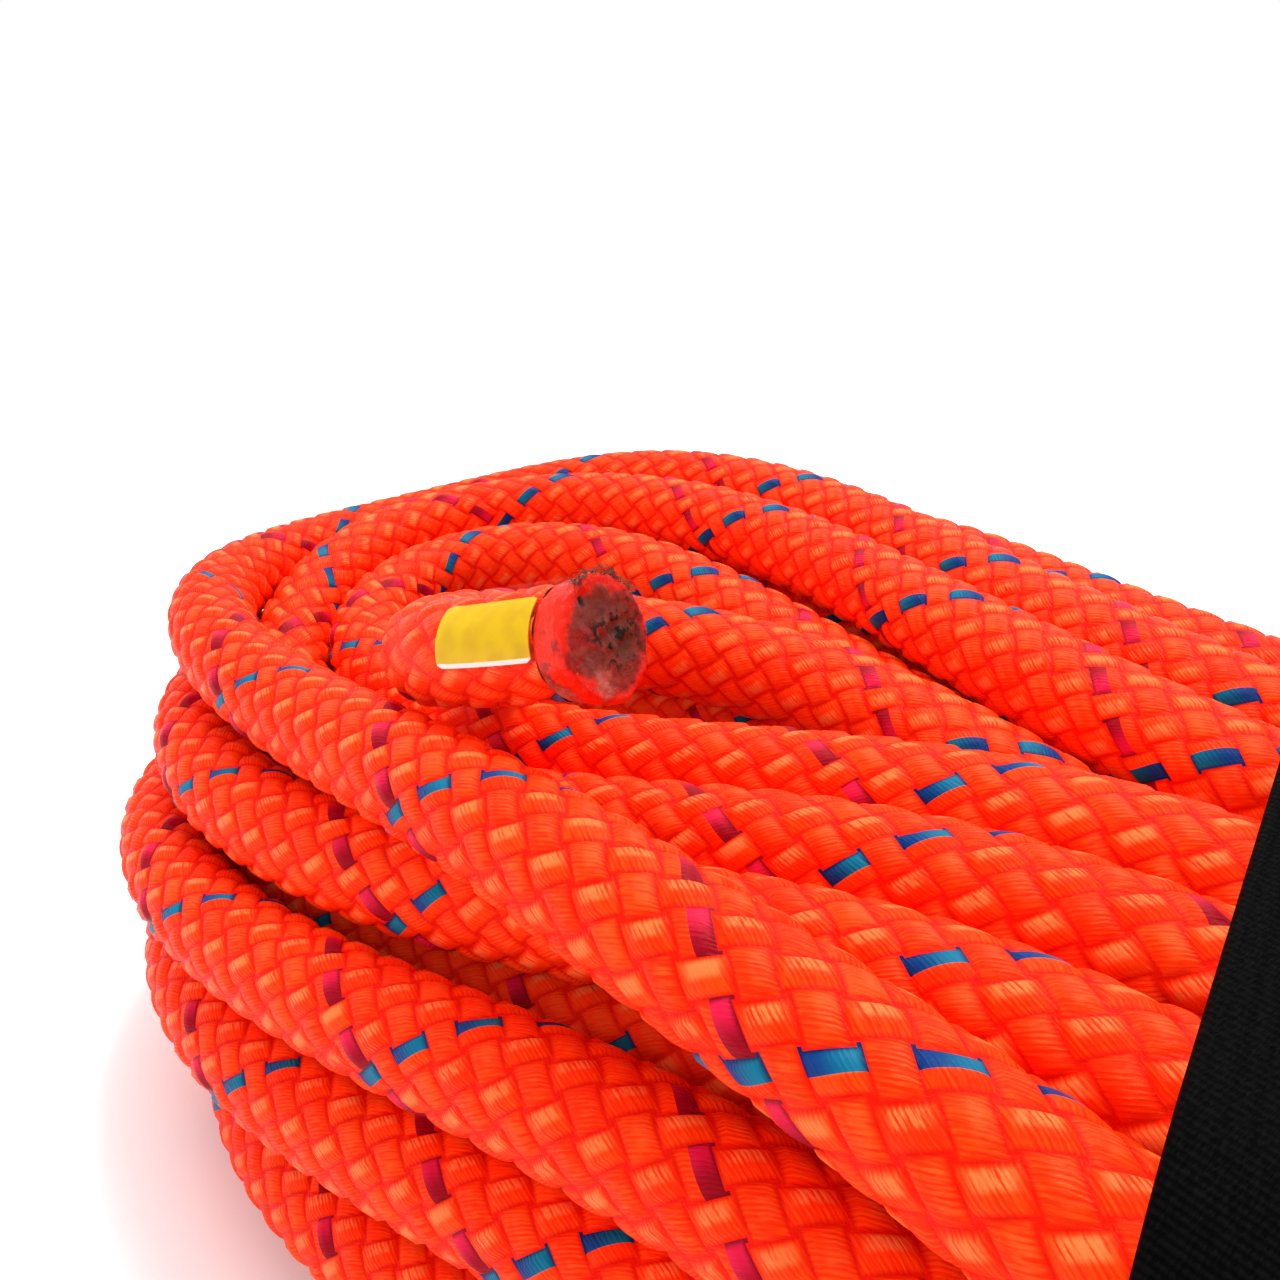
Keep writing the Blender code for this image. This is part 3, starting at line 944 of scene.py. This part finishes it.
LABEL_LONG = 0.0120
LABEL_FROM_TIP = 0.0042
LABEL_ARC = radians(64)
LABEL_TURN = radians(122)       # middle of the label, round from straight down
LABEL_RADIUS = 0.00569
LABEL_THICK = 0.0001
LABEL_CORNER = 0.0006           # size of its round corners, and the share of its width they take
LABEL_CORNER_SHARE = 0.14
LABEL_BORDER = 0.07             # white border, as a share of the label's width
SLEEVE_RADIUS = 0.0059
SLEEVE_THICK = 0.00012
SLEEVE_FROM = 0.0014            # the sleeve starts this far back from the face
TIP_WIDE, TIP_FLARE = 0.0057, 0.0061
FACE_EDGE = 0.91 * TIP_FLARE    # radius of the flat of the melted face
FACE_WIDE = 0.0124              # what the face's picture spans
FACE_HOLLOW = 0.00025
ROUGH_INSIDE, ROUGH_OUTSIDE = 0.0058, 0.004    # where lumps push along the rope, and outwards
DENTED_TO = 0.001               # dents end this far back
LUMP_SEEDS = {"a": 3.0, "b": 8.0}
FACE_RINGS = 30
FACE_DENTS = ((0.0014, 0.0004, 0.0007, 0.0007), (-0.0002, 0.0002, 0.0005, 0.0005),
              (-0.0014, 0.0042, 0.0006, 0.0005), (0.0026, -0.0016, 0.0009, 0.0003))
FRAYED = 70                     # loose fibres at the edge of the melted face
FRAYED_FROM = 0.0058
FIBRE_THICK = 0.00007


def one_shape(*values):
    """The shape of the values broadcast together, and each of them in that shape as a flat row."""
    grids = np.broadcast_arrays(*values)
    return grids[0].shape, *(grid.ravel() for grid in grids)


class RopeEnd:
    """One end of the rope, read by the distance back from its face."""

    def __init__(self, line, letter):
        self.line = line
        self.letter = letter
        self.at_start = letter == "b"
        self.mirrored = 1 if letter == "a" else -1

    def points(self, back, angle, radius):
        """Points at a distance back, at an angle round from straight down, and at a radius."""
        shape, back, angle, radius = one_shape(back, angle, radius)
        places = back if self.at_start else self.line.length - back
        points, tangents, _, _ = self.line.read(np.clip(places, 0, self.line.length))
        outward = -tangents if self.at_start else tangents
        level = unit(np.cross(outward, (0, 0, 1)))
        upward = np.cross(level, outward)
        beyond = np.minimum(back, 0.0)
        found = (points - outward * beyond[:, None] + level * (radius * np.sin(angle))[:, None]
                 - upward * (radius * np.cos(angle))[:, None])
        return found.reshape(*shape, 3)


def lumps(back, angle, radius, scale, seed):
    """Smooth noise from -1 to 1 over a round piece."""
    shape, back, angle, radius = one_shape(back, angle, radius)
    places = zip(back, radius * np.cos(angle), radius * np.sin(angle))
    values = [noise.noise(Vector(place) * scale + Vector((seed, 0, 0))) for place in places]
    return np.array(values).reshape(shape)


def dented(end, angle, radius, dents):
    """How deep the face is sunk at each place, from (right, up, size, depth) of each dent."""
    right = -end.mirrored * radius * np.sin(angle)
    up = -radius * np.cos(angle)
    deep = np.zeros(np.broadcast(radius, angle).shape)
    for to_right, to_up, size, depth in dents:
        deep += depth * np.exp(-((right - to_right) ** 2 + (up - to_up) ** 2) / size ** 2)
    return deep


def revolved(name, end, profile, around, lump, material, slot, loop, dents=()):
    """A round piece on a rope end from a profile of (distance back, radius). A loop's profile closes."""
    back, radius = np.array(profile).T[..., None]
    angle = (tau * np.arange(around) / around)[None, :]
    size, scale = lump
    seed = LUMP_SEEDS[end.letter]
    rough = lumps(back, angle, radius, scale, seed) + 0.5 * lumps(back, angle, radius, scale * 3, seed)
    rough = rough * size
    sunk = dented(end, angle, radius, dents) * (back < DENTED_TO)
    points = end.points(back + sunk - rough * (radius < ROUGH_INSIDE), angle,
                        radius + rough * (radius > ROUGH_OUTSIDE))
    rows = len(profile)
    faces = ring_faces(rows + loop, around) % (rows * around)
    flat = np.stack([0.5 - end.mirrored * radius * np.sin(angle) / FACE_WIDE,
                     0.5 - radius * np.cos(angle) / FACE_WIDE], -1)
    return add_mesh(f"end_{end.letter}_{name}", points.reshape(-1, 3), [faces], material, "hank", slot,
                    uv=flat.reshape(-1, 2)[faces.ravel()], uv_name="Face")


def face_material():
    """Sheath and core melted together: red-brown, with char and near-black specks round its deepest dent, inside a rim
    of orange.
    """
    made = Surface("melted_face", (120, 52, 44), 0.3)
    u, v, _ = made.split(made.uv("Face"))
    place = made.place()
    broad = made.noise(place, 300.0, 3.0, 0.6)
    fine = made.noise(place, 900.0, 4.0, 0.6)

    def near(centre_u, centre_v, inner, outer):
        side = made.math("SUBTRACT", u, centre_u)
        rise = made.math("SUBTRACT", v, centre_v)
        far = made.math("SQRT", made.math("ADD", made.times(side, side), made.times(rise, rise)))
        rough = made.times_plus(made.math("SUBTRACT", broad, 0.5), 0.55, far)
        return made.spread(rough, outer, inner)

    colour = made.mix_colour(made.spread(broad, 0.4, 0.6), (158, 26, 14), (124, 54, 42))
    colour = made.mix_colour(made.spread(fine, 0.5, 0.66), colour, (132, 36, 20))
    colour = made.mix_colour(near(0.66, 0.45, 0.08, 0.24), colour, (100, 44, 28))
    # Near-black specks in a patch round the face's deepest dent
    dark_specks = made.times(near(0.6, 0.5, 0.16, 0.34), made.spread(fine, 0.5, 0.56))
    colour = made.mix_colour(dark_specks, colour, (20, 12, 8))
    colour = made.mix_colour(near(0.38, 0.86, 0.05, 0.11), colour, (22, 26, 22))
    colour = made.mix_colour(near(0.3, 0.2, 0.05, 0.22), colour, (188, 92, 78))
    rim = made.mix_colour(made.spread(broad, 0.36, 0.5), (160, 4, 12), (236, 30, 2))
    colour = made.mix_colour(near(0.5, 0.5, 0.37, 0.46), rim, colour)
    made.set("Base Color", colour)
    made.set("Roughness", made.spread(fine, 0.3, 0.7, 0.3, 0.55))
    made.set("Specular IOR Level", 0.2)
    made.bump(fine, 0.8, 0.0004)
    return made.material


def label_material():
    """Glossy yellow film with a thin white border along its lower edge, and no print."""
    made = Surface("label_film", (240, 208, 0), 0.3)
    u, v, _ = made.split(made.uv("Label"))
    wear = made.noise(made.place(), 500.0, 3.0)
    yellow = made.mix_colour(made.spread(wear, 0.35, 0.7), (214, 178, 0), (202, 162, 0))
    made.set("Base Color", made.mix_colour(made.math("LESS_THAN", v, LABEL_BORDER), yellow, (240, 226, 216)))
    made.set("Roughness", made.spread(wear, 0.3, 0.7, 0.26, 0.4))
    made.set("Specular IOR Level", 0.15)
    return made.material


def add_label(end, material):
    """A thin film wrapped part of the way round, with round corners."""
    along, around = 21, 25
    share = np.linspace(0, 1, around)[None, :]
    into_corner = np.maximum(np.abs(share - 0.5) * 2 - (1 - LABEL_CORNER_SHARE), 0) / LABEL_CORNER_SHARE
    corner = LABEL_CORNER * into_corner ** 2
    along_share = np.linspace(0, 1, along)[:, None]
    back = LABEL_FROM_TIP + corner + (LABEL_LONG - 2 * corner) * along_share
    angle = end.mirrored * (LABEL_TURN + LABEL_ARC * (share - 0.5))
    angle = np.broadcast_to(angle, back.shape)
    outer = end.points(back, angle, LABEL_RADIUS + LABEL_THICK)
    inner = end.points(back, angle, LABEL_RADIUS)
    count = along * around
    face = ring_faces(along, around, closed=False)
    rim = np.concatenate([np.arange(around), np.arange(2 * around - 1, count, around),
                          np.arange(count - 2, count - around - 1, -1),
                          np.arange(count - 2 * around, 0, -around)])
    after = np.roll(rim, -1)
    sides = np.stack([rim, after, after + count, rim + count], 1)
    faces = np.concatenate([face[:, ::-1], face + count, sides])
    share_grid = np.stack(np.broadcast_arrays(along_share, share), -1).reshape(-1, 2)
    uv = np.concatenate([share_grid, share_grid])[faces.ravel()]
    points = np.concatenate([outer.reshape(-1, 3), inner.reshape(-1, 3)])
    piece = add_mesh(f"end_{end.letter}_film_label", points, [faces], material, "hank", "label",
                     smooth=False, uv=uv, uv_name="Label")
    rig.replaces(piece, f"end_{end.letter}_label")
    return piece


def sleeve_material():
    made = Surface("clear_film", (255, 110, 70), 0.16)
    made.set("Alpha", 0.022)
    made.set("Specular IOR Level", 1.0)
    return made.material


def frayed_fibres(end, material):
    """Short loose fibres that stand off one side of the melted edge."""
    draw = random.Random(5)
    points = []
    faces = []
    around, steps = 4, 6
    for _ in range(FRAYED):
        turn = -end.mirrored * radians(draw.uniform(118, 198))
        long = draw.uniform(0.0005, 0.0016)
        lean = draw.uniform(-0.25, 0.25)
        rise = draw.uniform(0.15, 0.8)
        base = draw.uniform(0.0001, 0.0009)
        share = np.linspace(0, 1, steps)
        radius = FRAYED_FROM + long * rise * share
        back = base - long * (1 - rise) * share ** 2
        line = end.points(back, turn + lean * share ** 2, radius)
        ahead = unit(np.gradient(line, axis=0))
        across = unit(np.cross(ahead, (0.3, 0.5, 0.8)))
        thick = FIBRE_THICK * (1 - 0.6 * share)
        faces.append(ring_faces(steps, around) + len(points) * around * steps)
        points.append(rings(line, across, np.cross(ahead, across), thick[:, None], around))
    return add_mesh(f"end_{end.letter}_frayed_fibres", np.concatenate(points), [np.concatenate(faces)],
                    material, "hank", "tip")


def make_ends(line):
    """The melted tip, label and clear sleeve at each end of the rope."""
    face, film, label = face_material(), sleeve_material(), label_material()
    fibre = plain_material("frayed", (112, 72, 44), 0.7)
    pieces = []
    for letter in "ab":
        end = RopeEnd(line, letter)
        tip = [(TIP_LONG + 0.0008, 0.0), (TIP_LONG + 0.0008, TIP_WIDE * 0.9), (TIP_LONG, TIP_WIDE * 0.98),
               (0.0028, TIP_WIDE), (0.0017, TIP_WIDE), (0.0012, TIP_FLARE * 0.98), (0.0007, TIP_FLARE),
               (0.0003, TIP_FLARE * 0.98), (0.0001, TIP_FLARE * 0.95), (0.0, FACE_EDGE)]
        inward = [n / FACE_RINGS for n in range(1, FACE_RINGS + 1)]
        tip += [(FACE_HOLLOW * sin(pi * share), FACE_EDGE * (1 - share)) for share in inward]
        melted = revolved("melted_tip", end, tip, 120, (0.0003, 420.0), face, "tip", loop=False,
                          dents=FACE_DENTS)
        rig.replaces(melted, f"end_{letter}_tip")
        places = np.linspace(SLEEVE_FROM, SLEEVE_LONG, 30)
        inner = [(place, SLEEVE_RADIUS) for place in places[::-1]]
        outer = [(place, SLEEVE_RADIUS + SLEEVE_THICK) for place in places]
        sleeve = revolved("clear_sleeve", end, outer + inner, 72, (0.00007, 260.0), film, "sleeve",
                          loop=True)
        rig.replaces(sleeve, f"end_{letter}_sleeve")
        pieces += [melted, sleeve, add_label(end, label), frayed_fibres(end, fibre)]
    return pieces


# ---------------------------------------------------------------- strap

STRAP_WIDE = 0.040
STRAP_THICK = 0.0016
STRAP_CORNER = 1.1 * ROPE       # radius of the band's corners, inside
RIBS = 27                       # ribs across the webbing
RIB_DEEP = 0.00014
STITCH_LONG = 0.0024
STITCH_STEP = 0.0034
STITCH_WIDE = 0.00055
STITCH_PROFILE = ((-0.5, 0.0), (-0.42, 0.6), (-0.2, 1.0), (0.2, 1.0), (0.42, 0.6), (0.5, 0.0))
STITCH_SIDES = 8
SIDE_SEAM_IN = 0.0025           # from the flap's side edges
SIDE_SEAM_ENDS = (0.009, 0.007)     # from its sewn end and its free one
CROSS_SEAMS = (0.003, 0.007), (0.0022, 0.0055)      # from its sewn end, and from its free one


def webbing_section(thick):
    """A closed outline across the webbing: ribs above and below, and round edges."""
    steps = RIBS * 6
    across = np.linspace(-1, 1, steps + 1)
    edge = (1 - np.abs(across) ** 40) ** 0.5
    ribs = RIB_DEEP * (np.abs(np.sin(pi * RIBS * (across + 1) / 2)) - 1)
    half = (thick / 2 + ribs) * edge
    top = np.stack([across * STRAP_WIDE / 2, half], 1)
    return np.concatenate([top, (top * (1, -1))[-2:0:-1]])


def strap_shift(y):
    """How far along X the strap's middle lies, y metres across."""
    return STRAP_AT * ROPE - STRAP_SKEW * y


def webbing(name, line, thick, closed, material, body, node):
    """Ribbed webbing whose middle follows a line of (y, z) points."""
    line = np.array(line)
    if closed:
        ahead = np.roll(line, -1, 0) - np.roll(line, 1, 0)
    else:
        ahead = np.gradient(line, axis=0)
    ahead = unit(ahead)
    out = np.stack([ahead[:, 1], -ahead[:, 0]], 1)
    section = webbing_section(thick)
    around = len(section)
    points = np.empty((len(line), around, 3))
    points[..., 0] = section[:, 0] + strap_shift(line[:, None, 0])
    points[..., 1:] = line[:, None, :] + out[:, None, :] * section[None, :, 1:]
    rows = len(line) + closed
    faces = [ring_faces(rows, around) % (len(line) * around)]
    if not closed:
        faces += [np.arange(around)[::-1][None, :], (len(line) - 1) * around + np.arange(around)[None, :]]
    piece = add_mesh(name, points.reshape(-1, 3), faces, material, body, "strap")
    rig.replaces(piece, node)


def flap_webbing(name, node, steps, material):
    """Level webbing through the middle of one of the flap's nodes, and that node's box."""
    low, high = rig.box(node)
    middle = (low.z + high.z) / 2
    line = [(low.y + (high.y - low.y) * n / steps, middle) for n in range(steps + 1)]
    webbing(name, line, high.z - low.z, False, material, "flap", node)
    return low, high


def rounded_loop(low, high, radius, per_corner=14, step=0.0015):
    """A closed line round a box in Y and Z with round corners, clockwise seen from -X."""
    (y_low, z_low), (y_high, z_high) = low, high
    centres = [(y_high - radius, z_high - radius), (y_low + radius, z_high - radius),
               (y_low + radius, z_low + radius), (y_high - radius, z_low + radius)]
    corners = []
    for quarter, (y, z) in enumerate(centres):
        for n in range(per_corner + 1):
            angle = (quarter + n / per_corner) * pi / 2
            corners.append((y + radius * cos(angle), z + radius * sin(angle)))
    line = []
    for here, there in zip(corners, corners[1:] + corners[:1]):
        gap = sqrt((there[0] - here[0]) ** 2 + (there[1] - here[1]) ** 2)
        parts = max(1, round(gap / step))
        line += [(here[0] + (there[0] - here[0]) * n / parts, here[1] + (there[1] - here[1]) * n / parts)
                 for n in range(parts)]
    return line[::-1]


def webbing_material():
    """Black polyester webbing: fine crosswise yarns on its ribs."""
    made = Surface("webbing", (6, 6, 6), 0.7)
    made.set("Specular IOR Level", 0.02)
    x, y, z = made.split(made.place())
    weft = made.math("SINE", made.times(made.math("ADD", y, z), tau / 0.0007))
    fibres = made.noise(made.join(made.times(x, 4.0), y, z), 1400.0, 2.0)
    weave = made.times_plus(weft, 0.2, fibres)
    made.set("Base Color", made.mix_colour(made.spread(weave, 0.3, 0.8), (2, 2, 2), (9, 8, 8)))
    made.set("Roughness", made.spread(fibres, 0.3, 0.7, 0.8, 0.6))
    made.bump(weave, 0.5, 0.0002)
    return made.material


def tape_material(name, scale):
    """Hook or loop tape: a dense pile."""
    made = Surface(name, (14, 14, 15), 0.85)
    pile = made.noise(made.place(), scale, 3.0, 0.7)
    made.set("Base Color", made.mix_colour(made.spread(pile, 0.35, 0.65), (6, 6, 7), (36, 36, 38)))
    made.set("Roughness", made.spread(pile, 0.3, 0.7, 0.95, 0.7))
    made.bump(pile, 1.0, 0.0006)
    return made.material


def stitches(name, rows, material, body):
    """Rows of short thread stitches, each row from one point to another on a level face."""
    points = []
    faces = []
    for start, end in rows:
        start, end = Vector(start), Vector(end)
        along = (end - start).normalized()
        side = along.cross(Vector((0, 0, 1)))
        for number in range(int((end - start).length / STITCH_STEP)):
            centre = start + along * (number + 0.5) * STITCH_STEP
            first = len(points)
            for place, wide in STITCH_PROFILE:
                for n in range(STITCH_SIDES):
                    angle = tau * n / STITCH_SIDES
                    points.append(centre + along * place * STITCH_LONG
                                  + side * (cos(angle) * wide * STITCH_WIDE / 2)
                                  + Vector((0, 0, sin(angle) * wide * STITCH_WIDE / 2)))
            faces.append(ring_faces(len(STITCH_PROFILE), STITCH_SIDES) + first)
    return add_mesh(name, np.array([point[:] for point in points]), [np.concatenate(faces)], material, body,
                    "strap")


def make_strap():
    """The band, its flap and the tab at the flap's end, as ribbed webbing with its seams."""
    cloth = webbing_material()
    thread = plain_material("thread", (26, 26, 28), 0.5)
    low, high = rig.box("strap_band")
    inset = STRAP_THICK / 2
    loop = rounded_loop((low.y + inset, low.z + inset), (high.y - inset, high.z - inset),
                        STRAP_CORNER + inset)
    webbing("strap_webbing", loop, STRAP_THICK, True, cloth, "hank", "strap_band")
    low, high = flap_webbing("strap_flap_webbing", "strap_flap", 40, cloth)

    def seam(x, y, to_x, to_y):
        return (strap_shift(y) + x, y, high.z), (strap_shift(to_y) + to_x, to_y, high.z)

    edge = STRAP_WIDE / 2 - SIDE_SEAM_IN
    across = [low.y + gap for gap in CROSS_SEAMS[0]] + [high.y - gap for gap in CROSS_SEAMS[1]]
    near, far = low.y + SIDE_SEAM_ENDS[0], high.y - SIDE_SEAM_ENDS[1]
    seams = [seam(-edge, y, edge, y) for y in across] + [seam(x, near, x, far) for x in (-edge, edge)]
    stitches("strap_flap_seams", seams, thread, "flap")
    flap_webbing("strap_tab_webbing", "strap_pull_tab", 8, cloth)
    for node, scale in (("strap_loop_tape", 2600.0), ("strap_hook_tape", 1800.0)):
        frame["nodes"][node].material_slots[0].material = tape_material(node, scale)


# ---------------------------------------------------------------- view

EYE = (1.35, -7.7, 9.9)         # camera, in rope diameters
LOOK_ROUND = radians(53)        # from +Y towards -X
LOOK_DOWN = radians(22)
LENS = 35
CLIP = 0.001
WORLD_LIGHT = 0.75
FLOOR_HALF = 30.0


def aim(thing, place, look):
    thing.location = place
    thing.rotation_mode = "QUATERNION"
    thing.rotation_quaternion = look.to_track_quat("-Z", "Y")


def make_camera():
    data = bpy.data.cameras.new("camera")
    data.lens = LENS
    data.clip_start = CLIP
    look = Vector((-sin(LOOK_ROUND) * cos(LOOK_DOWN), cos(LOOK_ROUND) * cos(LOOK_DOWN), -sin(LOOK_DOWN)))
    camera = add_object("camera", data)
    aim(camera, Vector(EYE) * ROPE, look)
    bpy.context.scene.camera = camera


def add_light(name, kind, power):
    data = bpy.data.lights.new(name, kind)
    data.energy = power
    return data, add_object(name, data)


def add_panel(name, place, size, power, target=(0, 0, 0.03)):
    data, light = add_light(name, "AREA", power)
    data.size = size
    aim(light, place, Vector(target) - Vector(place))


def make_room():
    half = FLOOR_HALF
    mesh = bpy.data.meshes.new("floor")
    mesh.from_pydata([(-half, -half, 0), (half, -half, 0), (half, half, 0), (-half, half, 0)], [],
                     [(0, 1, 2, 3)])
    floor = add_object("floor", mesh)
    mesh.materials.append(floor_material())
    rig.stage(floor)
    world = bpy.data.worlds.new("studio")
    world.use_nodes = True
    nodes = world.node_tree.nodes
    links = world.node_tree.links
    soft = nodes["Background"]
    soft.inputs[0].default_value = (1.0, 1.0, 1.0, 1.0)
    soft.inputs[1].default_value = WORLD_LIGHT
    white = nodes.new("ShaderNodeBackground")
    white.inputs[0].default_value = (1.0, 1.0, 1.0, 1.0)
    rays = nodes.new("ShaderNodeLightPath")
    either = nodes.new("ShaderNodeMixShader")
    links.new(rays.outputs["Is Camera Ray"], either.inputs[0])
    links.new(soft.outputs[0], either.inputs[1])
    links.new(white.outputs[0], either.inputs[2])
    links.new(either.outputs[0], nodes["World Output"].inputs[0])
    bpy.context.scene.world = world
    bpy.context.scene.view_settings.view_transform = "Standard"
    add_panel("key", (-0.35, 0.3, 0.95), 0.25, 6.0)
    add_panel("fill", (0.1, -1.0, 0.5), 0.6, 3.0)
    data, overhead = add_light("overhead", "SUN", 1.6)
    data.angle = radians(50)
    overhead.rotation_euler = (radians(-15), radians(-20), 0)


make_camera()
rope_line = Line(fine_line(settled_rope()) * ROPE)
rope_core, core_path = make_rope(rope_line)
rope_ends = make_ends(rope_line)
make_strap()
make_room()
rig.cord(rope_core, exit=rope_line.points[0], length=rope_line.length, diameter=ROPE, far_end="bare",
        stiffness="limp", lay="coiled", path=core_path, with_pieces=rope_ends)

shown_low, shown_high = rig.bounds()
with open("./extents.json", "w") as out:
    json.dump({"cad": [list(cad_low), list(cad_high)], "visual": [list(shown_low), list(shown_high)]}, out)
